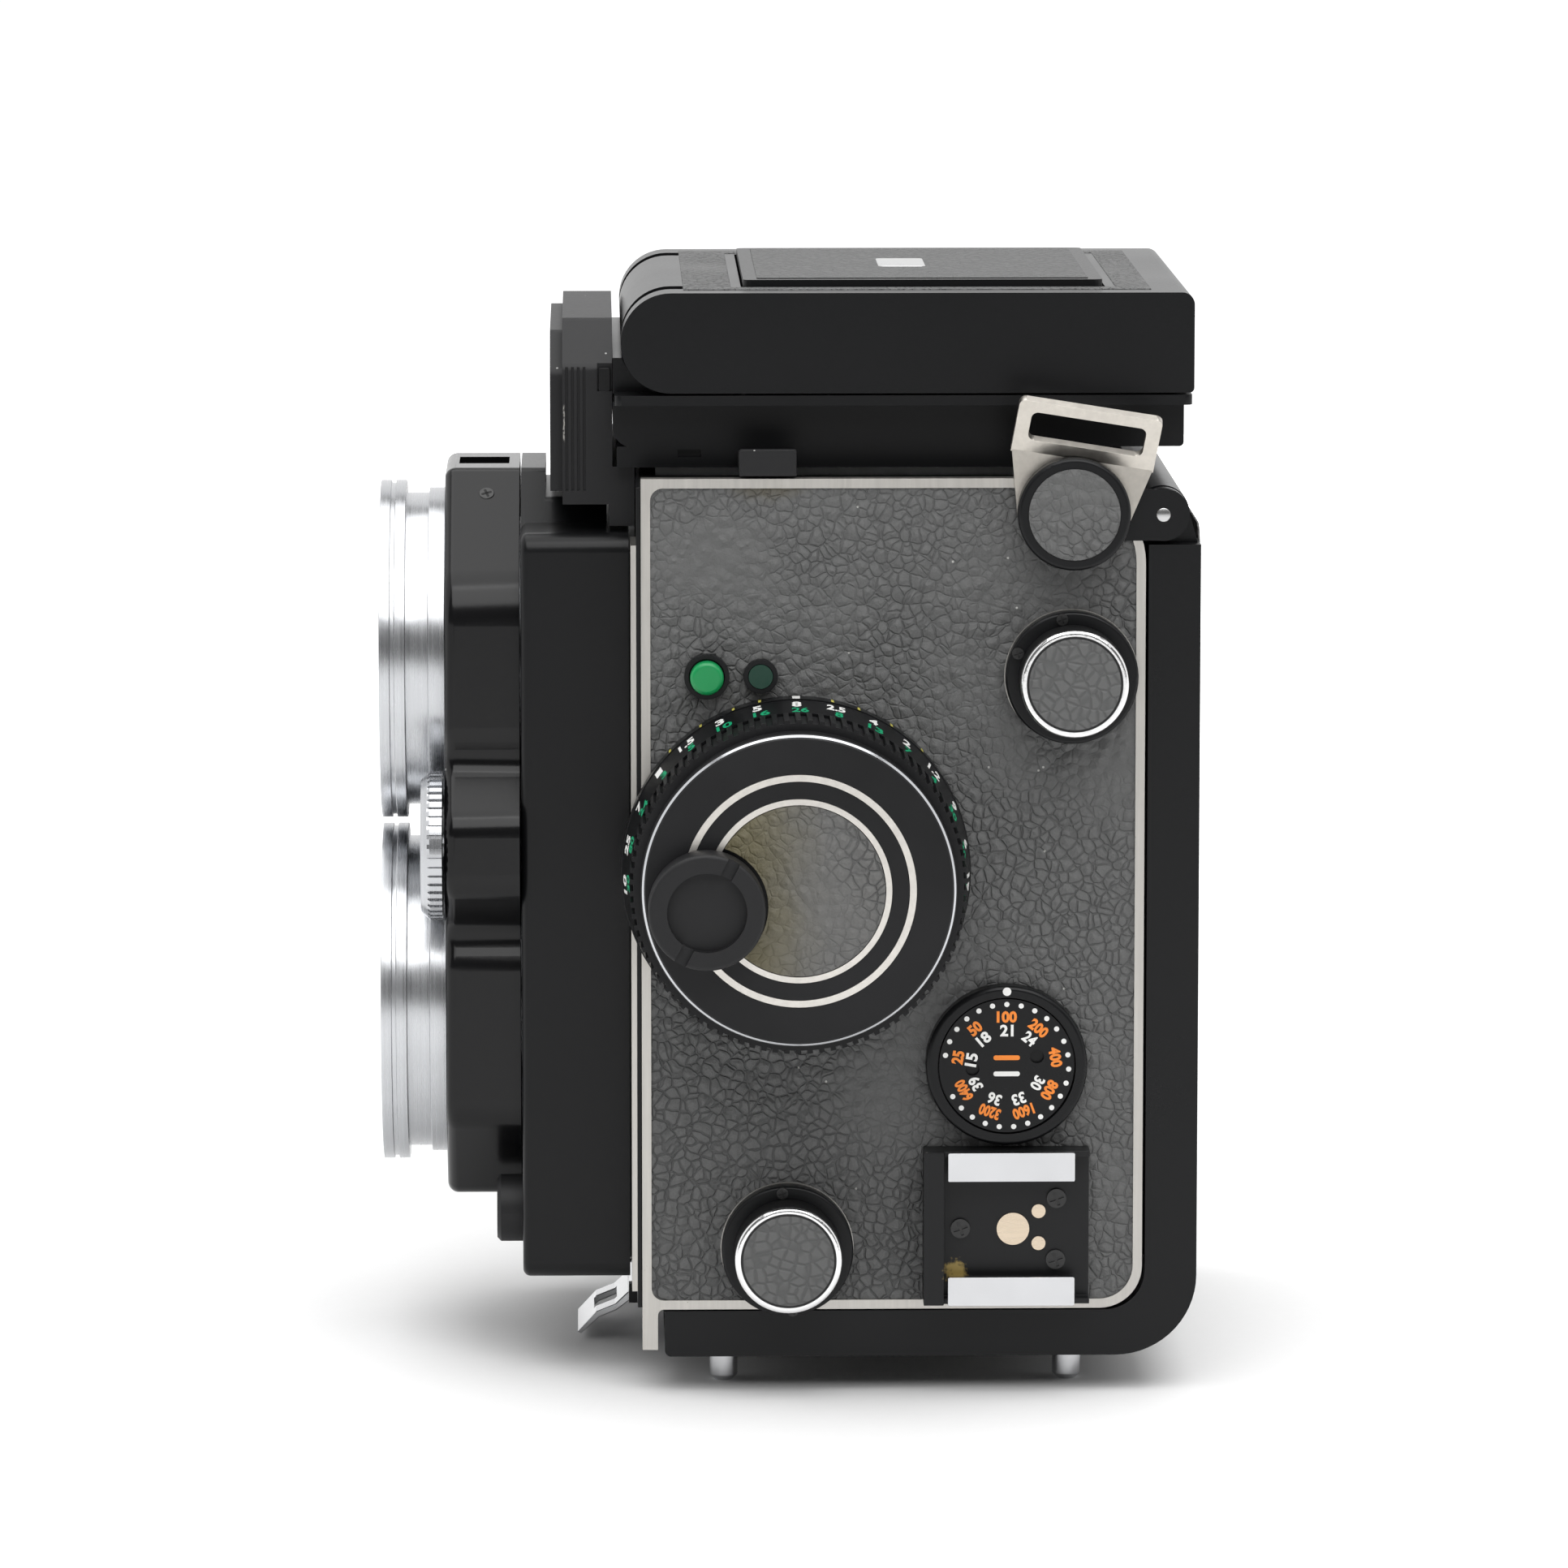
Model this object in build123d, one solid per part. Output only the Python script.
"""Twin lens reflex camera, built as separate solids, one STEP file per piece.

The model is laid out in millimetres with Y = 0 just behind the front wall of the body, the lenses
towards -Y, Z = 0 at the tips of the feet and X = 0 on the centre plane. The focus knob is on the +X side.
save() moves every piece so that the origin is at the mouth of the tripod socket.
"""
from build123d import *
import math
import os

os.makedirs("parts", exist_ok=True)

# Body
plate_x = 43.5          # outer face of the side plates
plate_t = 2.2           # thickness of a side plate
frame_w = 1.2           # width of the bright line round a leather panel
casting_x = 41.2        # half width of the casting
body_front = -3.3       # front face of the casting
body_rear = 61.0        # rear face of the casting, where the film lies
body_top = 118.0        # top of the casting
body_bottom = 11.4      # underside of the casting
plate_rear = 61.2
plate_top = 119.1
plate_low = 11.2
foot_bottom = 5.9       # lower end of the narrow front leg of a side plate

# Optics
view_z = 92.0           # axis of the viewing lens
take_z = 46.0           # axis of the taking lens
frame_half = 28.0       # half of the film gate
gate_front_half = 16.0  # half of the light chamber's front mouth
screen_y = 27.0         # centre of the focusing screen

# Film transport
spool_low = (15.3, 19.3)    # supply spool, Y and Z
spool_high = (51.7, 93.7)   # take-up spool, Y and Z
spool_r = 12.4
spool_half = 30.8           # half length of a spool
chamber_r = 12.9

# Back door
door_x = 43.0
door_rear = 68.3
door_low = 4.9
door_wall = 1.8
door_floor = 1.5
door_front = -0.5
hinge_y = 63.4
hinge_z = 114.4
pin_r = 1.06

# Tripod socket, a 1/4 inch thread in a steel insert in the floor of the door
socket_y = 35.0
socket_z = door_low
socket_r = 3.175
socket_depth = 5.5
insert_r = 7.0

# Hood
hood_x = 35.7           # half width of the lid
ledge_top = 129.0
lid_low = 129.3
lid_high = 142.2
lid_pivot_y = 0.6
lid_rear = 67.8
lid_wall = 2.0

# Front standard, which slides along Y to focus
house_x = 31.5
house_front = -18.9
house_rear = -4.9
house_low = 12.9
house_high = 110.7
house_wall = 2.0
panel_front = -28.9
panel_rear = -19.1
rim_front = -37.5       # front of the lens rims

# Controls on the +X side
focus_y = 16.4
focus_z = 68.8
dial_y = 43.5
dial_z = 43.4
lug_y = 51.8
lug_z = 114.9

running = 0.06          # radial clearance between a shaft and its bore
gap = 0.3               # clearance between pieces that move past each other

to_origin = Location((0, -socket_y, -socket_z))


def save(name, *solids):
    """Write one piece, or a group of identical separate pieces, as a node."""
    shape = solids[0] if len(solids) == 1 else Compound(children=list(solids))
    export_step(shape.moved(to_origin), f"parts/{name}.step")
    print(name)


def block(x0, x1, y0, y1, z0, z1):
    """Box between two corners."""
    centre = ((x0 + x1) / 2, (y0 + y1) / 2, (z0 + z1) / 2)
    return Pos(*centre) * Box(abs(x1 - x0), abs(y1 - y0), abs(z1 - z0))


def disc(x0, x1, y, z, r):
    """Cylinder along X."""
    return Pos((x0 + x1) / 2, y, z) * Rot(0, 90, 0) * Cylinder(r, abs(x1 - x0))


def rod(y0, y1, x, z, r):
    """Cylinder along Y."""
    return Pos(x, (y0 + y1) / 2, z) * Rot(90, 0, 0) * Cylinder(r, abs(y1 - y0))


def post(z0, z1, x, y, r):
    """Cylinder along Z."""
    return Pos(x, y, (z0 + z1) / 2) * Cylinder(r, abs(z1 - z0))


def washer(x0, x1, y, z, outer, inner):
    """Ring along X."""
    return disc(x0, x1, y, z, outer) - disc(x0 - 1, x1 + 1, y, z, inner)


def hoop(y0, y1, x, z, outer, inner):
    """Ring along Y."""
    return rod(y0, y1, x, z, outer) - rod(y0 - 1, y1 + 1, x, z, inner)


def outline(points, radii=None):
    """Face in the YZ plane from (y, z) corners, with an optional radius at each corner."""
    face = make_face(Plane.YZ * Polyline(*points, close=True))
    for corner, radius in (radii or {}).items():
        vertex = face.vertices().sort_by_distance(Vector(0, *points[corner]))[0]
        face = fillet(vertex, radius)
    return face


def slab(face, x0, x1):
    """Extrude a face in the YZ plane from x0 to x1."""
    return Pos(x0, 0, 0) * extrude(face, amount=x1 - x0, dir=(1, 0, 0))


def prism(points, x0, x1, radii=None):
    """Solid of constant YZ outline between x0 and x1."""
    return slab(outline(points, radii), x0, x1)


def panel(points, y0, y1, radii=None):
    """Solid of constant XZ outline between y0 and y1."""
    face = make_face(Plane.XZ * Polyline(*points, close=True))
    for corner, radius in (radii or {}).items():
        x, z = points[corner]
        vertex = face.vertices().sort_by_distance(Vector(x, 0, z))[0]
        face = fillet(vertex, radius)
    return Pos(0, y0, 0) * extrude(face, amount=y1 - y0, dir=(0, 1, 0))


def rounded_block(x0, x1, y0, y1, z0, z1, r, along):
    """Box with the four edges that run along one axis rounded."""
    solid = block(x0, x1, y0, y1, z0, z1)
    return fillet(solid.edges().filter_by(along), r)


def screw_x(x, y, z, r, out=1, turn=20):
    """Cross-head screw whose head faces along X."""
    head = disc(x, x + out * 0.5, y, z, r)
    slot = r * 0.3
    arm = r * 0.75
    for angle in (turn, turn + 90):
        cut = Pos(x + out * 0.5, y, z) * Rot(angle, 0, 0) * Box(0.5, 2 * arm, slot)
        head -= cut
    return head


def mirrored(solid):
    """The same piece on the other side of the centre plane."""
    return mirror(solid, about=Plane.YZ)


# ---- Body ----

crank_y = spool_high[0] - 30.0 * math.cos(math.radians(45))
crank_z = spool_high[1] - 30.0 * math.sin(math.radians(45))
guide_x = 25.0
guide_r = 2.0
guide_heights = (36.0, 62.0)
roller_r = 2.2
roller_y = body_rear - roller_r
roller_heights = (14.4, 77.6)
knob_pin_r = 2.9
focus_shaft_r = 4.0
crank_shaft_r = 3.0
bearing_end = 33.0      # inner end of the crank shaft's bearing


def make_casting():
    """Body casting with light chamber, mirror box, two spool chambers and room for the gears."""
    corners = [(body_front, body_bottom), (body_rear, body_bottom),
               (body_rear, body_top), (body_front, body_top)]
    solid = prism(corners, -casting_x, casting_x, {1: 5.0, 2: 12.0})
    front = Plane(origin=(0, body_front - 0.1, take_z), z_dir=(0, 1, 0)) * Rectangle(
        2 * gate_front_half, 2 * gate_front_half
    )
    rear = Plane(origin=(0, body_rear + 0.1, take_z), z_dir=(0, 1, 0)) * Rectangle(
        2 * frame_half, 2 * frame_half
    )
    solid -= loft([front, rear])
    mirror_box = [(-0.8, 66.5), (4.5, 66.5), (50.5, 112.5),
                  (54.5, 112.5), (54.5, body_top + 1), (-0.8, body_top + 1)]
    solid -= prism(mirror_box, -27, 27)
    solid -= rod(body_front - 1, 5, 0, view_z, 20.5)
    end = spool_half + 0.4
    low_y, low_z = spool_low
    solid -= disc(-end, end, low_y, low_z, chamber_r)
    solid -= block(-end, end, low_y - chamber_r, low_y + chamber_r, body_bottom - 1, low_z)
    solid -= block(-end, end, low_y, body_rear + 1, body_bottom - 1, 14.4)
    high_y, high_z = spool_high
    solid -= disc(-end, end, high_y, high_z, chamber_r)
    solid -= block(-end, end, high_y, body_rear + 1, high_z - chamber_r, high_z + chamber_r)
    for height in roller_heights:
        solid -= disc(-end, end, roller_y, height, roller_r + gap)
        solid -= block(-end, end, roller_y, body_rear + 1, height - roller_r - gap, height + roller_r + gap)
        solid -= disc(-33, 33, roller_y, height, 0.8 + running)
    solid -= disc(34.5, casting_x + 1, focus_y, focus_z, 10.5)
    solid -= disc(-casting_x - 1, -35.5, crank_y, crank_z, 18.8)
    solid -= disc(-casting_x - 1, -35.5, high_y, high_z, 14.8)
    for y, z in (spool_low, spool_high):
        solid -= disc(end - 1, casting_x + 1, y, z, knob_pin_r + running)
    solid -= disc(-casting_x, -end + 1, high_y, high_z, knob_pin_r + running)
    solid -= disc(-bearing_end, -36, crank_y, crank_z, crank_shaft_r + running)
    solid += disc(-end - 0.5, -spool_half + 3.5, low_y, low_z, knob_pin_r)
    for x in (-guide_x, guide_x):
        for height in guide_heights:
            solid -= rod(body_front - 1, 16, x, height, guide_r + running)
    return solid


def side_outline():
    """Outline of a side plate, with the narrow leg at the front."""
    corners = [
        (-3.4, foot_bottom),
        (-1.4, foot_bottom),
        (-1.4, plate_low),
        (plate_rear, plate_low),
        (plate_rear, plate_top),
        (-3.4, plate_top),
    ]
    return outline(corners, {3: 5.5, 4: 11.0, 2: 0.8})


def leather_outline():
    """Outline of the leather panel inside the bright line."""
    low = plate_low + frame_w
    high = plate_top - frame_w
    left = -3.4 + frame_w
    right = plate_rear - frame_w
    return outline([(left, low), (right, low), (right, high), (left, high)], {0: 1.6, 1: 4.4, 2: 9.8, 3: 1.6})


pocket_x = plate_x - frame_w
leather_face = plate_x - 0.2


def make_side(holes, windows):
    """Side plate and its leather, on the +X side: holes go through both, windows cut only the leather."""
    sheet = slab(side_outline(), plate_x - plate_t, plate_x)
    recess = slab(leather_outline(), pocket_x, plate_x + 1)
    for y, z, r in windows:
        recess -= disc(pocket_x - 1, plate_x + 2, y, z, r)
    leather = recess & block(pocket_x, leather_face, -10, 80, 0, 130)
    sheet -= recess
    for y, z, r in holes:
        drill = disc(plate_x - plate_t - 1, plate_x + 2, y, z, r)
        sheet -= drill
        leather -= drill
    return sheet, leather


casting = make_casting()
save("body_casting", casting)

spool_knobs = (spool_high, spool_low)
knob_base_r = 8.5
button_stem_r = 1.3
lug_stem_r = 1.6
button_at = (5.0, 93.8)
lamp_at = (11.9, 93.8)
window_at = (6.0, 107.0)
focus_holes = [(y, z, knob_pin_r + running) for y, z in spool_knobs]
focus_holes += [(focus_y, focus_z, focus_shaft_r + running), (*button_at, button_stem_r),
                (*lamp_at, 1.0), (lug_y, lug_z, lug_stem_r)]
focus_plate, focus_leather = make_side(focus_holes, [(y, z, knob_base_r + 0.1) for y, z in spool_knobs])

crank_holes = [(crank_y, crank_z, crank_shaft_r + running), (*window_at, 3.2), (lug_y, lug_z, lug_stem_r)]
crank_plate, crank_leather = make_side(crank_holes, [])
save("counter_window", mirrored(disc(plate_x - plate_t, leather_face + 0.3, *window_at, 3.15)))


def make_front_plate():
    """Thin black plate on the front of the casting, with the light sleeve that the housing slides over."""
    solid = block(-43, 43, -4.0, body_front - 0.1, 11.4, 118)
    solid -= block(-gate_front_half, gate_front_half, -5, 0, take_z - gate_front_half, take_z + gate_front_half)
    solid -= rod(-5, 0, 0, view_z, 20.5)
    for x in (-guide_x, guide_x):
        for height in guide_heights:
            solid -= rod(-5, 0, x, height, guide_r + gap)
    sleeve = block(-29.1, 29.1, -14, -3.9, 15.3, 108.3)
    return solid + (sleeve - block(-27.9, 27.9, -15, -3, 16.5, 107.1))


save("front_plate", make_front_plate())
strip = block(32.3, 42.8, -4.7, -4.0, 13.5, 110.5)
save("side_plates", focus_plate, mirrored(crank_plate), strip, mirrored(strip))


def make_mirror(start, end, half):
    """Reflex mirror at 45 degrees under the viewing screen."""
    back = mirror_t * math.sqrt(0.5)
    rise = view_z - screen_y
    points = [
        (start, start + rise),
        (end, end + rise),
        (end + back, end + rise - back),
        (start + back, start + rise - back),
    ]
    return prism(points, -half, half)


mirror_t = 2.1
save("reflex_mirror", make_mirror(5, 47.5, 26.6))
save("focusing_screen", block(-28.4, 28.4, screen_y - 28.4, screen_y + 28.4, body_top, body_top + 2.2))

roller_end = spool_half + 0.1
for name, height in zip(("film_roller_lower", "film_roller_upper"), roller_heights):
    drum = disc(-roller_end, roller_end, roller_y, height, roller_r)
    save(name, drum + disc(-32.6, 32.6, roller_y, height, 0.8))


# ---- Back door: an L of rear wall and floor, hinged at the top rear ----

door_top = 110.5
knuckle_r = 3.5


def make_door():
    """Door shell with side bands, raised rear panel, hinge knuckle and the hole for the tripod insert."""
    outer = [(door_front, door_low), (door_rear, door_low), (door_rear, door_top), (61.6, door_top),
             (61.6, 10.9), (door_front, 10.9)]
    radii = {1: 10.5, 4: 5.2, 0: 0.8}
    solid = prism(outer, -door_x, door_x, radii)
    inner = [(door_front - 1, door_low + door_floor), (door_rear - door_wall, door_low + door_floor),
             (door_rear - door_wall, door_top - 1.5), (60, door_top - 1.5), (60, 12), (door_front - 1, 12)]
    solid -= prism(inner, -41.2, 41.2, {1: 8.7})
    solid += block(-24, 24, door_rear - 0.1, door_rear + 0.4, 65, 99.6)
    arm = [(hinge_y, hinge_z), (64.6, door_top - 1), (door_rear, door_top - 1), (66.9, 114.4)]
    solid += prism(arm, -40.6, 40.6)
    solid += disc(-40.6, 40.6, hinge_y, hinge_z, knuckle_r)
    solid -= block(-42, 42, 59.0, 61.4, 105, 119)
    solid -= disc(-45, 45, hinge_y, hinge_z, pin_r + running)
    solid -= post(0, 8, 0, socket_y, insert_r + 0.02)
    for x in (-33.5, 33.5):
        for y in foot_rows:
            solid -= post(0, 8, x, y, 1.2)
    return solid


def make_foot(x, y):
    """Turned foot with a rounded tip and a thin stem riveted through the floor of the door."""
    profile = [(0, 0.0), (1.15, 0.0), (1.85, 0.7), (1.85, door_low - 0.02),
               (1.17, door_low - 0.02), (1.17, 6.9), (0, 6.9)]
    face = make_face(Plane.XZ * Polyline(*profile, close=True))
    return Pos(x, y, 0) * revolve(face, Axis.Z)


foot_rows = (7.2, 52.0)
save("feet", *[make_foot(x, y) for x in (-33.5, 33.5) for y in foot_rows])
insert = post(socket_z, 10.8, 0, socket_y, insert_r) - post(socket_z - 1, socket_z + socket_depth, 0, socket_y, socket_r)
save("tripod_insert", insert)

plate_y = body_rear + 1.0
save("pressure_plate", rounded_block(-31, 31, plate_y, plate_y + 1.2, 15.5, 76.5, 1.5, Axis.Y))


def make_leaf(height):
    """Bowed leaf spring between the pressure plate and the door."""
    face_y = plate_y + 1.2 + 1.0
    wall_y = door_rear - door_wall - 0.05
    arc = ThreePointArc((-22, face_y + 0.3), (0, wall_y), (22, face_y + 0.3))
    back = ThreePointArc((22, face_y), (0, wall_y - 0.3), (-22, face_y))
    sides = [Line((22, face_y + 0.3), (22, face_y)), Line((-22, face_y), (-22, face_y + 0.3))]
    face = make_face([arc, back] + sides)
    return Pos(0, 0, height) * extrude(face, amount=8)


save("pressure_springs", make_leaf(24), make_leaf(60))

ear_t = 0.28            # thickness of the outer plate of the hinge
ear_points = [(hinge_y - 3.4, hinge_z), (60.2, 113.4), (61.0, 111.3), (hinge_y, hinge_z - 3.3)]
ear = disc(41.4, 43.3, hinge_y, hinge_z, 3.4) + prism(ear_points, 41.4, 43.3)
ear_plate = disc(plate_x, plate_x + ear_t, hinge_y, hinge_z, 3.35)
ear_plate += block(plate_x, plate_x + ear_t, 57.6, hinge_y, 111.1, 117.7)
ear = ear + ear_plate - disc(40, plate_x - 0.05, hinge_y, hinge_z, pin_r)
save("door_hinge", ear + mirrored(ear) + disc(-plate_x, plate_x, hinge_y, hinge_z, pin_r))


def make_latch():
    """Spring-steel catch under the front edge, with a curled free end and a slot."""
    curve = [(-3.2, 7.9), (-4.0, 8.6), (-4.8, 7.6), (-6.6, 6.2), (-9.0, 5.2), (-11.4, 3.0), (-11.9, 3.3),
             (-9.4, 6.0), (-6.9, 7.0), (-5.2, 8.6), (-4.0, 9.8), (-2.9, 8.6)]
    solid = prism([(y, z - 2.4) for y, z in curve], -7.3, 7.3)
    solid -= block(-3.4, 3.4, -9.6, -6.6, 0, 10)
    solid += disc(-7.3, 7.3, latch_y, latch_z, 1.5)
    return solid - disc(-9, 9, latch_y, latch_z, 0.6 + running)


latch_y = -3.6
latch_z = 6.6
save("door_latch", make_latch())
door = make_door() + disc(-9.4, 9.4, latch_y, latch_z, 0.6)
for side in (-1, 1):
    door += block(side * 7.7, side * 9.4, -5.0, 0.4, 5.2, 7.8)
save("back_door", door)


# ---- Hood ----

lid_pivot_z = (lid_low + lid_high) / 2
lid_round = (lid_high - lid_low) / 2
side_wall_x = 32.4
side_wall_z = 130.3
rear_wall_y = 64.4
rear_wall_z = 132.0
wall_t = 0.8
wall_reach = 31.4
rear_reach = 20.0
wall_start = 10.2
barrel_r = 0.8


def make_hood_base():
    """Frame of the hood: locating strip, base, overhanging ledge and hinge ears."""
    solid = block(-31, 31, -6.4, 57.5, 119.3, 122)
    corners = [(-6.9, 121.9), (66.8, 121.9), (66.8, 127.8), (-6.9, 127.8)]
    solid += prism(corners, -31, 31, {0: 2.6, 1: 0.6})
    front_wall = block(-30, 30, -6.9, lid_pivot_y, ledge_top - 0.2, 133.4)
    solid += front_wall - disc(-40, 40, lid_pivot_y, lid_pivot_z, lid_round + gap)
    solid += rounded_block(-35.5, 35.5, -6.7, 67.6, 127.7, ledge_top, 0.9, Axis.Z)
    for side in (-1, 1):
        ear = disc(side * 25, side * 29, lid_pivot_y, lid_pivot_z, 3.4)
        ear += block(side * 25, side * 29, lid_pivot_y - 1.3, lid_pivot_y + 1.3, ledge_top - 0.5, lid_pivot_z)
        solid += ear
        for y in (wall_start - 1.5, rear_wall_y - 1.0):
            solid += block(side * 31.7, side * 33.1, y, y + 0.9, ledge_top - 0.2, side_wall_z + 0.7)
        solid += block(side * 29.4, side * 30.6, rear_wall_y - 0.7, rear_wall_y + 0.7, ledge_top - 0.2, rear_wall_z + 0.7)
    solid -= block(-28.5, 28.5, screen_y - 28.5, screen_y + 28.5, 118, 131)
    solid += disc(-30, 30, lid_pivot_y, lid_pivot_z, 1.2)
    solid -= block(30.2, 32, 1.5, 4.5, 120.6, 121.6)
    return solid


def make_lid():
    """Hood lid: a shallow tray with a round front end and a window for the flap."""
    corners = [(lid_pivot_y - lid_round, lid_low), (lid_rear, lid_low), (lid_rear, lid_high),
               (lid_pivot_y - lid_round, lid_high)]
    solid = prism(corners, -hood_x, hood_x, {0: lid_round - 0.01, 3: lid_round - 0.01, 2: 1.6, 1: 0.6})
    solid -= block(-hood_x + lid_wall, hood_x - lid_wall, lid_pivot_y + 6.2, lid_rear - lid_wall,
                   lid_low - 1, lid_high - lid_wall)
    for side in (-1, 1):
        solid -= disc(side * 24.7, side * 29.3, lid_pivot_y, lid_pivot_z, lid_round + 0.4)
    solid -= block(-flap_x - gap, flap_x + gap, flap_front - gap, flap_rear + gap, lid_high - 3, lid_high + 1)
    solid -= disc(-31, 31, lid_pivot_y, lid_pivot_z, 1.2 + running)
    recess = block(-31, 31, 2.2, 62.5, lid_high - leather_recess, lid_high + 1)
    recess -= block(-flap_x - 1.6, flap_x + 1.6, flap_front - 1.6, flap_rear + 1.6, 130, 150)
    solid -= recess
    for side in (-1, 1):
        ear = block(side * 27.2, side * 29.0, loupe_y - 1.6, loupe_y + 1.6, loupe_z - 1.2, lid_high - lid_wall + 0.2)
        solid += ear
    return solid - disc(-30, 30, loupe_y, loupe_z, 0.7 + running)


flap_x = 26.0
flap_front = 10.0
flap_rear = 56.5
leather_recess = 0.6
loupe_y = 40.4
loupe_z = 137.0

save("hood_base", make_hood_base())
save("hood_lid", make_lid())
cover = block(-31, 31, 2.2, 62.5, lid_high - leather_recess, lid_high + 0.1)
cover -= block(-flap_x - 1.6, flap_x + 1.6, flap_front - 1.6, flap_rear + 1.6, 130, 150)
save("lid_leather", cover)

flap = rounded_block(-flap_x, flap_x, flap_front, flap_rear, lid_high - 1.8, lid_high + 0.9, 1.0, Axis.Z)
flap -= block(-flap_x + 1.8, flap_x - 1.8, flap_front + 1.8, flap_rear - 1.8, lid_high + 0.3, lid_high + 2)
inlay = block(-flap_x + 1.8, flap_x - 1.8, flap_front + 1.8, flap_rear - 1.8, lid_high + 0.3, lid_high + 1)
save("finder_flap", flap, inlay)


def make_side_wall():
    """Folding side wall of the hood, lying inwards, on the +X side."""
    inner = side_wall_x - wall_reach
    corners = [(side_wall_x, wall_start), (inner + 3.5, wall_start), (inner, wall_start + 3.6),
               (inner, 62.6 - wall_reach), (side_wall_x, 62.6)]
    face = make_face(Polyline(*corners, close=True))
    solid = Pos(0, 0, side_wall_z) * extrude(face, amount=wall_t)
    solid += rod(wall_start, 62.6, side_wall_x, side_wall_z, barrel_r)
    return solid


def make_rear_wall():
    """Folding rear wall of the hood, lying forwards over the side walls."""
    solid = block(-28.8, 28.8, rear_wall_y - rear_reach, rear_wall_y, rear_wall_z, rear_wall_z + wall_t)
    return solid + disc(-28.8, 28.8, rear_wall_y, rear_wall_z, barrel_r)


side_wall = make_side_wall()
save("hood_wall_focus_side", side_wall)
save("hood_wall_crank_side", mirrored(side_wall))
save("hood_wall_rear", make_rear_wall())

loupe_reach = 24.0
loupe_t = 3.0
lens_y = loupe_y + 12.6


def make_loupe():
    """Magnifier frame on a short arm under the lid."""
    low = loupe_z - loupe_t / 2
    high = loupe_z + loupe_t / 2
    solid = rounded_block(-13.4, 13.4, loupe_y + 1.2, loupe_y + loupe_reach, low, high, 3.0, Axis.Z)
    solid += block(-13.4, 13.4, loupe_y, loupe_y + 2.4, loupe_z - 1.4, loupe_z + 1.4)
    solid += disc(-13.4, 13.4, loupe_y, loupe_z, 1.4)
    solid -= post(low - 1, high + 1, 0, lens_y, 9.6)
    return solid + disc(-28.8, 28.8, loupe_y, loupe_z, 0.7)


save("magnifier_frame", make_loupe())
save("magnifier_lens", post(loupe_z - 1.2, loupe_z + 1.2, 0, lens_y, 9.6))

clip = block(31.3, 43.3, 9.2, 16.5, 119.4, 120.4) + block(41.9, 43.4, 9.2, 16.5, 119.4, 122.8)
clip += block(31.3, 34.0, 9.2, 16.5, 119.4, 121.6)
save("hood_clips", clip, mirrored(clip))


cover_rear = -6.95


def make_name_cover():
    """Front cover of the viewing hood, with slanted upper corners and fine ribs on its sides."""
    corners = [(-28, 114.2), (28, 114.2), (28, 132.0), (21, 137.8), (-21, 137.8), (-28, 132.0)]
    solid = panel(corners, -13.4, cover_rear, {2: 1.5, 3: 1.5, 4: 1.5, 5: 1.5})
    solid += block(-28, 28, -7.4, -4.1, 111.4, 119.1)
    raised = [(-26.4, 115.8), (26.4, 115.8), (26.4, 131.2), (20.4, 136.2), (-20.4, 136.2), (-26.4, 131.2)]
    solid += panel(raised, -15.0, -13.3, {2: 1.5, 3: 1.5, 4: 1.5, 5: 1.5})
    for side in (-1, 1):
        for rib in range(4):
            y = -13.0 + rib * 0.75
            solid -= block(side * 27.7, side * 29, y, y + 0.35, 116, 132)
        solid -= block(side * 27.4, side * 29, -8.9, cover_rear + 1, 128.9, 136)
    return solid


save("name_plate_cover", make_name_cover())


# ---- Front standard ----

neck_high = 117.1
neck_rear = -15.7
saddle_high = 113.7     # the lower part of the neck passes under the name-plate cover
saddle_rear = -7.7


def make_housing():
    """Sliding front housing: a box open at the rear with a neck for the viewing lens above it."""
    solid = rounded_block(-house_x, house_x, house_front, house_rear, house_low, house_high, 2.4, Axis.Y)
    front_edges = solid.faces().sort_by(Axis.Y)[0].edges()
    solid = fillet(front_edges, 1.0)
    neck = [(10, neck_high), (27.5, 102.5), (27.5, 100), (-27.5, 100), (-27.5, 102.5), (-10, neck_high)]
    solid += panel(neck, house_front, neck_rear, {0: 2.0, 5: 2.0})
    saddle = [(14.2, saddle_high), (27.5, 102.5), (27.5, 100), (-27.5, 100), (-27.5, 102.5), (-14.2, saddle_high)]
    solid += panel(saddle, neck_rear - 0.1, saddle_rear, {0: 2.0, 5: 2.0})
    inner_x = house_x - house_wall
    solid -= block(-inner_x, inner_x, house_front + house_wall, 0, house_low + house_wall, house_high - house_wall)
    solid -= rod(house_front - 1, -15, 0, take_z, 18.0)
    solid -= rod(house_front - 1, -15, 0, view_z, 18.0)
    for x in (-guide_x, guide_x):
        for height in guide_heights:
            solid -= rod(house_front + 1, -15, x, height, guide_r)
    solid += rod(house_front - 2.4, house_front + 0.5, release_x, corner_z, 5.0)
    solid -= rod(house_front - 3, house_front, release_x, corner_z, 3.7)
    return solid - rod(house_front - 1, -15, release_x, corner_z, 2.2)


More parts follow.
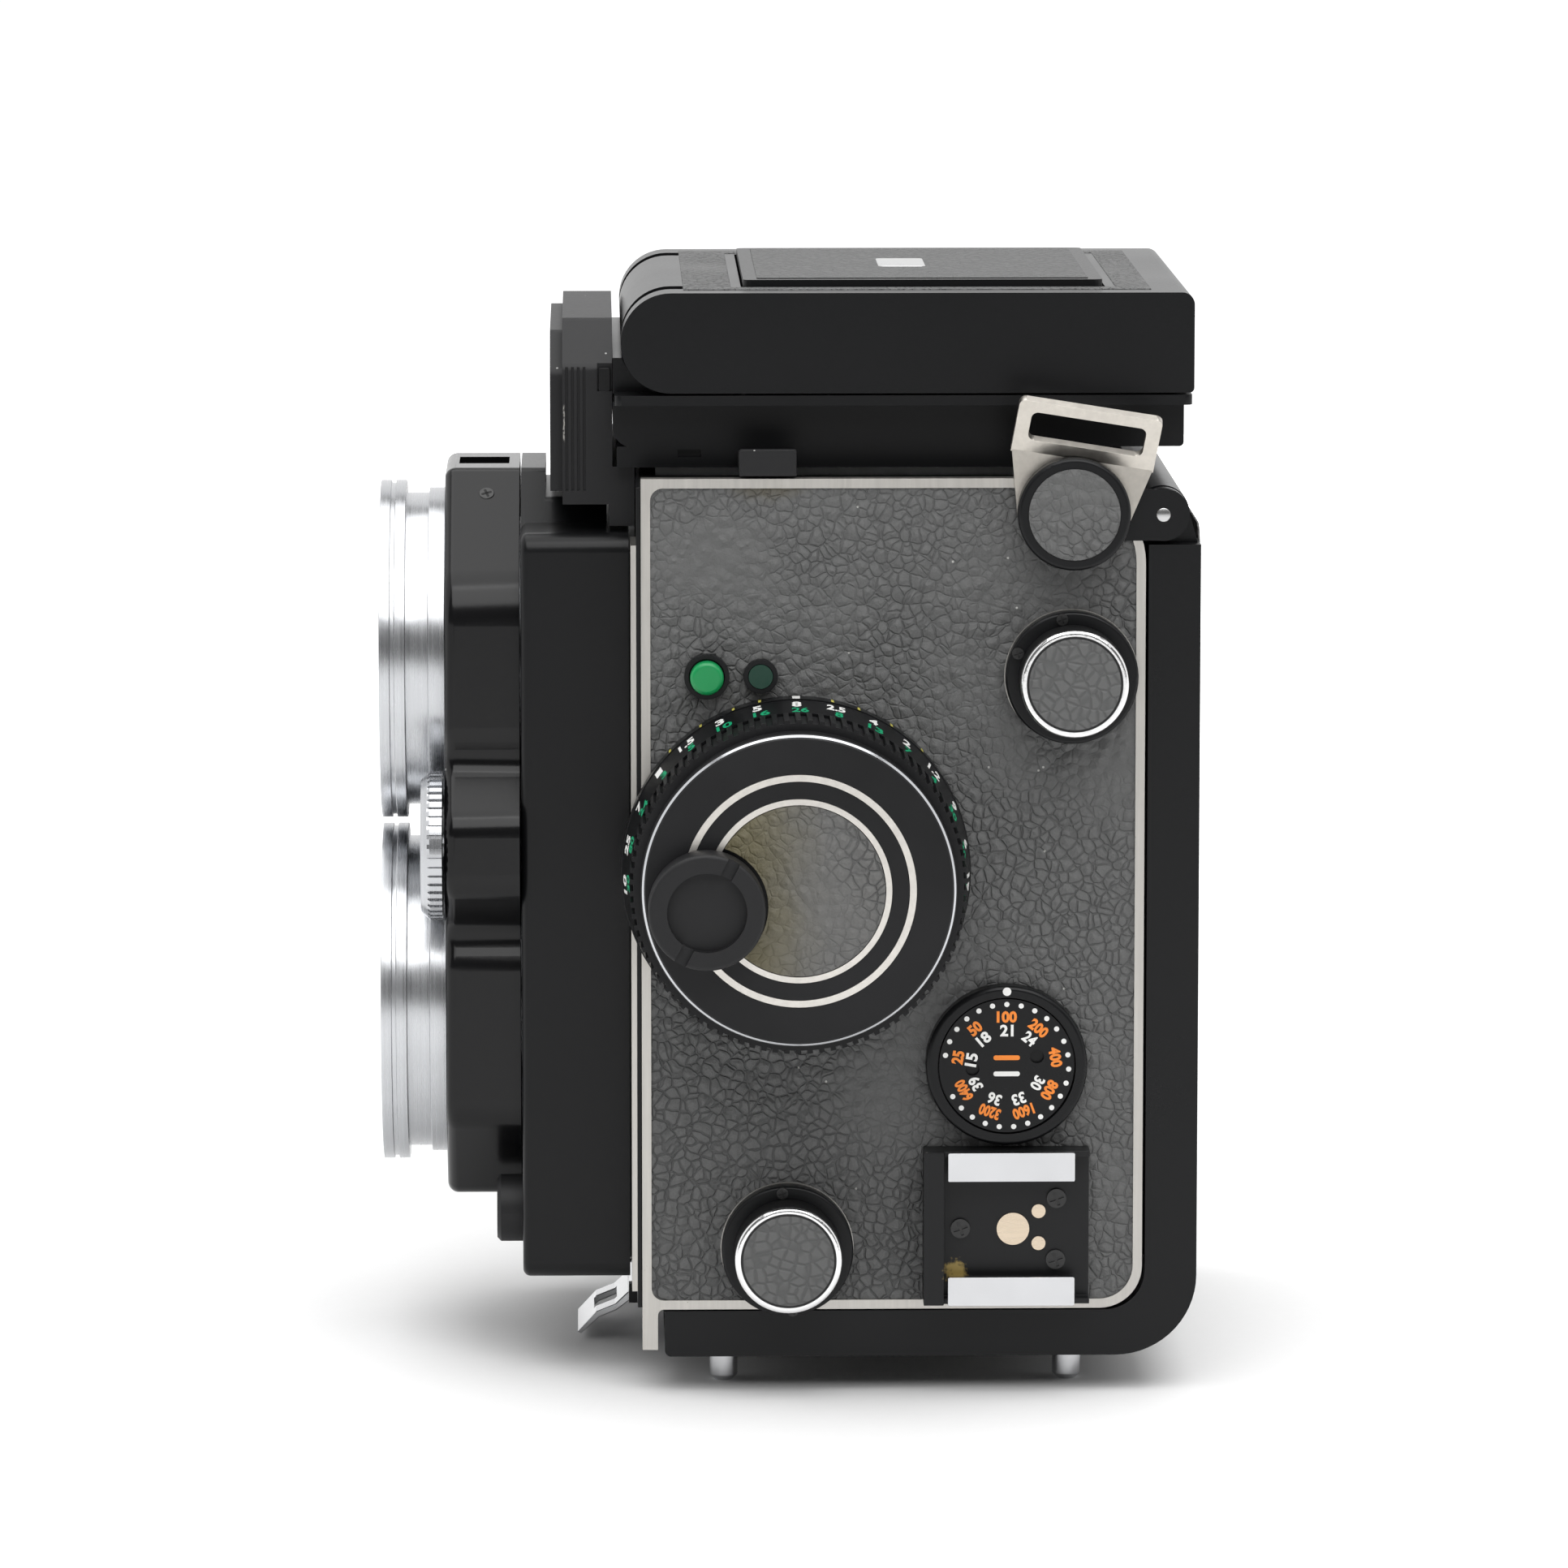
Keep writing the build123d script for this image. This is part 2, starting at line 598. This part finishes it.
def make_lens_panel():
    """Front panel that carries both lenses, waisted between them with bulges round the wheels."""
    half = [(10, 117.1), (27.5, 102.5), (27.5, 84), (25.8, 80), (33.5, 73.5), (33.5, 64.5), (25.8, 58),
            (27.5, 54), (27.5, 33.5), (15.5, 21.2)]
    left = [(-x, z) for x, z in reversed(half)]
    radii = {0: 2, 1: 9, 2: 5, 3: 3, 4: 4.5, 5: 4.5, 6: 3, 7: 5, 8: 6, 9: 4}
    radii.update({19 - index: radius for index, radius in list(radii.items())})
    solid = panel(half + left, panel_front, panel_rear, radii)
    solid = fillet(solid.faces().sort_by(Axis.Y)[0].edges(), 1.4)
    for height in (take_z, view_z):
        solid -= rod(panel_front - 1, panel_rear + 1, 0, height, 17.6)
    for x in (-wheel_x, wheel_x):
        solid -= rod(panel_front - 1, panel_front + 3.4, x, wheel_z, 1.6)
    return solid - block(-4.2, 4.2, panel_front + 1.8, panel_front + 8.4, 116.0, 118)


def make_barrel(height):
    """Lens barrel with a stepped silver rim that carries the bayonet lugs."""
    solid = hoop(panel_front - 2.2, panel_front, 0, height, 21.4, 14.6)
    solid += hoop(panel_front - 5.2, panel_front - 2.2, 0, height, 20.7, 16.0)
    solid += hoop(rim_front, panel_front - 5.2, 0, height, 22.4, 19.4)
    solid += hoop(panel_front, panel_rear + 1.4, 0, height, 17.5, 14.6)
    for angle in (90, 210, 330):
        lug = Rot(0, angle, 0) * block(19.0, 19.45, rim_front, rim_front + 1.2, -3.5, 3.5)
        solid += Pos(0, 0, height) * lug
    solid -= hoop(rim_front + 1.4, rim_front + 2.0, 0, height, 23, 22.0)
    return solid


def make_lens(height, front_r, back_y):
    """Glass group: a domed front element and a smaller flat rear one joined by its cemented body."""
    dome = [(0, rim_front + 2.6), (front_r * 0.62, rim_front + 3.5), (front_r, rim_front + 5.4)]
    front_arc = ThreePointArc((0, dome[0][1], 0), (dome[1][0], dome[1][1], 0), (dome[2][0], dome[2][1], 0))
    rest = Polyline((front_r, dome[2][1], 0), (front_r, panel_front, 0), (12.0, panel_front + 3, 0),
                    (12.0, back_y, 0), (0, back_y, 0), (0, dome[0][1], 0))
    solid = revolve(make_face([front_arc, rest]), Axis.Y)
    return Pos(0, 0, height) * solid


wheel_x = 23.6
wheel_z = 69.0
wheel_r = 9.8
release_x = -23.5
corner_z = 21.0
socket_x = 24.0

rods = [rod(house_front + 1.2, 14, x, height, guide_r) for x in (-guide_x, guide_x) for height in guide_heights]
save("front_housing", make_housing(), *rods)
save("lens_panel", make_lens_panel())
save("lens_barrels", make_barrel(view_z), make_barrel(take_z))
save("lenses", make_lens(view_z, 14.5, -18.0), make_lens(take_z, 14.5, -18.0))
shutter = hoop(-16.8, -9.0, 0, take_z, 21.5, 14.5) + hoop(-12.0, -11.0, 0, take_z, 15, 9)
shutter += hoop(-9.1, -5.4, 0, take_z, 16.0, 14.0)
save("shutter_unit", shutter)


def make_wheel(x):
    """Knurled setting wheel on a short axle, with a bevelled edge."""
    solid = rod(panel_front - 3.1, panel_front - gap, x, wheel_z, wheel_r)
    solid = chamfer(solid.faces().sort_by(Axis.Y)[0].edges(), 1.2)
    solid += rod(panel_front - 1, panel_front + 3.0, x, wheel_z, 1.6 - running)
    notch_count = 48
    for index in range(notch_count):
        angle = 360 * index / notch_count
        cut = Rot(0, angle, 0) * Pos(wheel_r, 0, 0) * Box(0.7, 8, 0.55)
        solid -= Pos(x, panel_front - 1.6, wheel_z) * cut
    return solid


save("aperture_wheel", make_wheel(wheel_x))
save("shutter_speed_wheel", make_wheel(-wheel_x))

socket = rod(house_front - 3.4, house_front, socket_x, corner_z, 4.4)
socket = chamfer(socket.faces().sort_by(Axis.Y)[0].edges(), 0.5)
socket -= rod(house_front - 4, house_front - 0.9, socket_x, corner_z, 1.65)
save("sync_socket", socket)
button = rod(house_front - 3.8, house_front - 2.8, release_x, corner_z, 3.2)
button += rod(house_front - 3.0, -14.5, release_x, corner_z, 2.2 - running)
save("release_button", button)


# ---- Controls on the side plates ----

face_x = leather_face   # the leather that the controls stand on


def gear(x0, x1, y, z, teeth, module, turn):
    """Spur gear along X with involute teeth; turn sets the angle of one tooth in degrees."""
    pitch = module * teeth / 2
    base = pitch * math.cos(math.radians(20))
    tip = pitch + 0.85 * module
    root = pitch - 1.2 * module
    involute_at_pitch = math.tan(math.radians(20)) - math.radians(20)
    half_tooth = math.pi / (2 * teeth) - backlash / (2 * pitch)
    flank = []
    for step in range(4):
        radius = max(base, root) + (tip - max(base, root)) * step / 3
        pressure = math.acos(min(1.0, base / radius))
        spread = half_tooth + involute_at_pitch - (math.tan(pressure) - pressure)
        flank.append((radius, spread))
    points = []
    for index in range(teeth):
        middle = math.radians(turn) + 2 * math.pi * index / teeth
        side = [(root, -math.pi / teeth * 0.62)] + [(radius, -spread) for radius, spread in flank]
        side += [(radius, spread) for radius, spread in reversed(flank)] + [(root, math.pi / teeth * 0.62)]
        for radius, offset in side:
            points.append((y + radius * math.cos(middle + offset), z + radius * math.sin(middle + offset)))
    return prism(points, x0, x1)


backlash = 0.16
crank_teeth = 34
takeup_teeth = 26
mesh_turn = 45.0        # direction from the crank gear to the take-up gear

crank_gear = gear(-40.6, -37.2, crank_y, crank_z, crank_teeth, 1.0, mesh_turn)
crank_gear += disc(-44.0, -36.6, crank_y, crank_z, crank_shaft_r)
takeup_turn = mesh_turn + 180 + 180 / takeup_teeth
takeup_gear = gear(-40.6, -37.2, *spool_high, takeup_teeth, 1.0, takeup_turn)
takeup_gear += disc(-37.5, -spool_half + 2.4, *spool_high, knob_pin_r)


def make_spool(y, z):
    """Film spool: slotted core between two flanges, bored at both ends."""
    solid = disc(-spool_half, spool_half, y, z, 5.6)
    for side in (-1, 1):
        solid += disc(side * (spool_half - 0.9), side * spool_half, y, z, spool_r)
        solid -= disc(side * (spool_half - 4), side * (spool_half + 1), y, z, knob_pin_r + running)
    return solid - block(-22, 22, y - 0.8, y + 0.8, z - 7, z + 7)


save("supply_spool", make_spool(*spool_low))
save("takeup_spool", make_spool(*spool_high), takeup_gear)


def make_knob(y, z):
    """Pull-out spool knob with a polished rim and the pin that carries the spool."""
    solid = disc(plate_x + 2.9, plate_x + 9.0, y, z, 6.9)
    solid = fillet(solid.faces().sort_by(Axis.X)[-1].edges(), 0.5)
    solid -= disc(plate_x + 8.5, plate_x + 10, y, z, 5.9)
    return solid + disc(spool_half - 2.6, plate_x + 3.5, y, z, knob_pin_r)


def make_knob_base(y, z):
    """Round foot under a spool knob."""
    solid = disc(plate_x, plate_x + 2.6, y, z, knob_base_r)
    solid = fillet(solid.faces().sort_by(Axis.X)[-1].edges(), 0.4)
    return solid - disc(plate_x - 1, plate_x + 4, y, z, knob_pin_r + running)


base_screws = []
for (y, z), angles in zip(spool_knobs, ((100, 155), (95, 275))):
    for angle in angles:
        reach = 7.7
        place = (y + reach * math.cos(math.radians(angle)), z + reach * math.sin(math.radians(angle)))
        base_screws.append((place, 0.75))
bases = [make_knob_base(y, z) for y, z in spool_knobs]
save("spool_knob_bases", *bases)
for name, place in zip(("takeup_knob", "supply_knob"), spool_knobs):
    save(name, make_knob(*place), disc(plate_x + 8.5, plate_x + 9.05, *place, 5.85))

lug_cap_x = plate_x + 1.9


def make_lug_cap():
    """Round cap over a strap lug, on a stem through the side plate."""
    solid = disc(lug_cap_x, lug_cap_x + 2.6, lug_y, lug_z, 7.2)
    solid = fillet(solid.faces().sort_by(Axis.X)[-1].edges(), 0.5)
    solid -= disc(lug_cap_x + 2.1, lug_cap_x + 4, lug_y, lug_z, 5.9)
    return solid + disc(plate_x - 2, lug_cap_x + 0.5, lug_y, lug_z, lug_stem_r)


def make_lug():
    """Bent strap lug with a slot, leaning back about its stem."""
    flat = [(-7.0, -1.5), (-4.5, -5.0), (4.5, -5.0), (7.0, -1.5), (9.2, 7.3), (-9.2, 7.3)]
    solid = slab(outline(flat, {0: 2.0, 3: 2.0, 1: 3.0, 2: 3.0}), 0, 1.3)
    flange = [(-9.2, 0), (9.2, 0), (9.2, 7.6), (-9.2, 7.6)]
    slot = [(-7.4, 2.0), (7.4, 2.0), (7.4, 6.1), (-7.4, 6.1)]
    wing = slab(outline(flange, {2: 0.8, 3: 0.8}), 0, 1.3)
    wing -= slab(outline(slot, {0: 0.9, 1: 0.9, 2: 0.9, 3: 0.9}), -1, 3)
    solid += Pos(0, 0, 7.1) * Rot(0, lug_bend, 0) * wing
    solid -= disc(-1, 3, 0, 0, lug_stem_r + running)
    return Pos(plate_x + 0.35, lug_y, lug_z) * Rot(lug_lean, 0, 0) * solid


lug_bend = 24
lug_lean = -9
cap = make_lug_cap()
cap_leather = disc(lug_cap_x + 2.1, lug_cap_x + 2.75, lug_y, lug_z, 5.85)
lug = make_lug()
save("strap_lug_caps", cap, mirrored(cap))
save("body_leathers", focus_leather, mirrored(crank_leather), cap_leather, mirrored(cap_leather))
save("strap_lug_focus_side", lug)
save("strap_lug_crank_side", mirrored(lug))


# ---- Focus knob ----

collar_end = face_x + 3.0
collar_r = 22.4
scale_r = 22.25         # the scale ring is a cone that narrows towards the skirt
scale_front_r = 21.3
scale_end = collar_end + 5.6
skirt_end = scale_end + 7.4
knob_face = plate_x + 19.0
cup_y = 4.7
cup_z = 66.8
cup_end = plate_x + 24.0

focus_collar = washer(face_x, collar_end, focus_y, focus_z, collar_r, focus_shaft_r + running)
focus_collar -= block(face_x - 1, plate_x + running, -8, frame_w - 3.4 + running, focus_z - 25, focus_z + 25)


def make_focus_knob():
    """Focus knob: cam disc, shaft, knurled skirt and recessed face with a hole for the finger cup."""
    solid = disc(collar_end + gap, knob_face, focus_y, focus_z, 20.0)
    solid = chamfer(solid.faces().sort_by(Axis.X)[-1].edges(), 0.6)
    solid -= washer(collar_end - 1, scale_end, focus_y, focus_z, 21.0, 18.8)
    solid += washer(scale_end + 0.1, skirt_end, focus_y, focus_z, 21.4, 15)
    for index in range(knurl_count):
        angle = 360 * index / knurl_count
        cut = Rot(angle, 0, 0) * Pos(0, 21.4, 0) * Box(30, 0.9, 0.8)
        solid -= Pos(scale_end + 15.1, focus_y, focus_z) * cut
    solid -= disc(knob_face - 0.6, knob_face + 1, focus_y, focus_z, 11.0)
    solid -= washer(knob_face - 0.5, knob_face + 1, focus_y, focus_z, 14.9, 13.95)
    solid -= washer(knob_face - 0.5, knob_face + 1, focus_y, focus_z, 11.8, 10.95)
    solid -= disc(knob_face - 5, knob_face + 1, cup_y, cup_z, 2.0 + running)
    solid += disc(34.9, collar_end + 1, focus_y, focus_z, focus_shaft_r)
    return solid + disc(35.0, 38.0, focus_y - 1.2, focus_z, 8.6)


def make_cup():
    """Finger cup: a dished wheel with two notches, on a stem in the knob's face."""
    solid = disc(knob_face + gap, cup_end, cup_y, cup_z, 7.4)
    solid = fillet(solid.faces().sort_by(Axis.X)[-1].edges(), 0.5)
    solid -= disc(cup_end - 1.6, cup_end + 1, cup_y, cup_z, 5.05)
    for angle in (62, 242):
        cut = Rot(angle, 0, 0) * Pos(0, 6.2, 0) * Box(1.6, 3.2, 1.6)
        solid -= Pos(cup_end, cup_y, cup_z) * cut
    return solid + disc(knob_face - 4.6, knob_face + 1, cup_y, cup_z, 2.0)


knurl_count = 90
leather_disc = disc(knob_face - 0.6, knob_face + 0.05, focus_y, focus_z, 10.9) - disc(60, 64, cup_y, cup_z, 7.8)
save("focus_knob", make_focus_knob())
scale_middle = (collar_end + gap + scale_end) / 2
scale_ring = Cone(scale_r, scale_front_r, scale_end - collar_end - gap)
scale_ring = Pos(scale_middle, focus_y, focus_z) * Rot(0, 90, 0) * scale_ring
save("focus_scale_ring", scale_ring - disc(collar_end, scale_end + 1, focus_y, focus_z, 18.85))
bright = [washer(knob_face - 0.5, knob_face + 0.08, focus_y, focus_z, outer, inner)
          - disc(60, 64, cup_y, cup_z, 2.3) for outer, inner in ((14.85, 14.0), (11.75, 11.0))]
save("focus_rings", *bright)
save("focus_leather", leather_disc)
save("finger_cup", make_cup())


# ---- Film speed dial, button and lamp ----

dial_ring = disc(face_x, face_x + 2.6, dial_y, dial_z, 10.4)
dial_ring = fillet(dial_ring.faces().sort_by(Axis.X)[-1].edges(), 0.6)
dial_ring -= disc(face_x + 0.8, face_x + 4, dial_y, dial_z, 8.9)
dial_ring -= disc(face_x - 1, face_x + 4, dial_y, dial_z, 2.0 + running)
dial = disc(face_x + 1.0, face_x + 2.3, dial_y, dial_z, 8.7) + disc(face_x + 0.1, face_x + 1.1, dial_y, dial_z, 2.0)
for y, z in ((39.1, 43.0), (47.4, 44.6)):
    dial -= disc(face_x + 1.6, face_x + 3, y, z, 0.9)
save("film_speed_dial", dial)

button_collar = washer(face_x, face_x + 1.6, *button_at, 2.9, 2.3)
lamp_collar = washer(face_x, face_x + 1.2, *lamp_at, 2.2, 1.6)
save("side_collars", focus_collar, dial_ring, button_collar, lamp_collar)
check_button = disc(face_x + 1.5, face_x + 3.4, *button_at, 2.15)
check_button = fillet(check_button.faces().sort_by(Axis.X)[-1].edges(), 0.6)
save("check_button", check_button + disc(plate_x - 1, face_x + 2, *button_at, button_stem_r - running))
lamp = disc(face_x, face_x + 1.3, *lamp_at, 1.55) + disc(plate_x - 1, face_x + 0.5, *lamp_at, 0.95)
save("exposure_lamp", lamp)


# ---- Accessory shoe ----

shoe_front = 32.8
shoe_rear = 54.2
shoe_z = 22.5
shoe_low = shoe_z - 10.0
shoe_high = shoe_z + 10.0
channel_half = 9.3      # a flash foot is 18.6 wide and 2 thick
rail_gap_half = 6.25
shoe_floor = face_x + 1.8
rail_under = shoe_floor + 2.1


def make_shoe_base():
    """Black base of the accessory shoe, with a stepped stop at its front end."""
    solid = block(face_x, shoe_floor, shoe_front, shoe_rear, shoe_low, shoe_high)
    solid += block(face_x, rail_under + 0.9, shoe_front, shoe_front + 2.6, shoe_low, shoe_high)
    for z0, z1 in ((shoe_low, shoe_z - channel_half), (shoe_z + channel_half, shoe_high)):
        solid += block(face_x, rail_under, shoe_front, shoe_rear, z0, z1)
    return solid


save("hot_shoe_base", make_shoe_base())
rails = []
for z0, z1 in ((shoe_low, shoe_z - rail_gap_half), (shoe_z + rail_gap_half, shoe_high)):
    rails.append(block(rail_under, rail_under + 1.3, shoe_front + 3.1, 52.2, z0, z1))
save("hot_shoe_rails", *rails)
contacts = [disc(shoe_floor, shoe_floor + 0.25, y, z, r)
            for y, z, r in ((44.4, 22.0, 2.1), (47.7, 24.3, 0.9), (47.7, 20.1, 0.9))]
spring = block(shoe_floor + 0.1, shoe_floor + 0.4, 36.5, 51.0, shoe_low + 1.2, shoe_low + 3.0)
save("hot_shoe_contacts", *contacts, Pos(-0.1, 0, 0) * spring)
screws = [screw_x(shoe_floor, y, z, 1.25) for y, z in ((37.6, 22.1), (50.0, 26.0), (49.9, 18.0))]
screws += [screw_x(plate_x + 2.6, y, z, r) for (y, z), r in base_screws]
save("side_screws", *screws)


# ---- Winding crank on the -X side ----

crank_reach = 30.0
axis_x = -51.2
hub_end = -49.2


def make_crank_hub():
    """Crank hub with a fork for the folding arm, on the shaft of the winding gear."""
    solid = disc(hub_end, -leather_face - gap, crank_y, crank_z, 11.0)
    solid = fillet(solid.faces().sort_by(Axis.X)[0].edges(), 0.8)
    for side in (-1, 1):
        solid += block(hub_end + 0.5, -53.0, crank_y + side * 3.3, crank_y + side * 5.3, crank_z - 2.6, crank_z + 2.6)
    solid += rod(crank_y - 5.3, crank_y + 5.3, axis_x, crank_z, 0.8)
    return solid + crank_gear


def make_crank_arm():
    """Folding crank arm with the fixed pin for its grip."""
    solid = block(-52.2, -50.2, crank_y - 3.0, crank_y + 3.0, crank_z - crank_reach, crank_z)
    solid += rod(crank_y - 3.0, crank_y + 3.0, axis_x, crank_z, 1.5)
    solid += disc(-52.2, -50.2, crank_y, crank_z - crank_reach, 5.2)
    solid -= rod(crank_y - 6, crank_y + 6, axis_x, crank_z, 0.8 + running)
    return solid + disc(-50.5, -44.5, crank_y, crank_z - crank_reach, 1.5)


save("crank_hub", make_crank_hub())
save("crank_arm", make_crank_arm())
save("crank_grip", washer(-49.9, -45.0, crank_y, crank_z - crank_reach, 5.0, 1.5 + running))
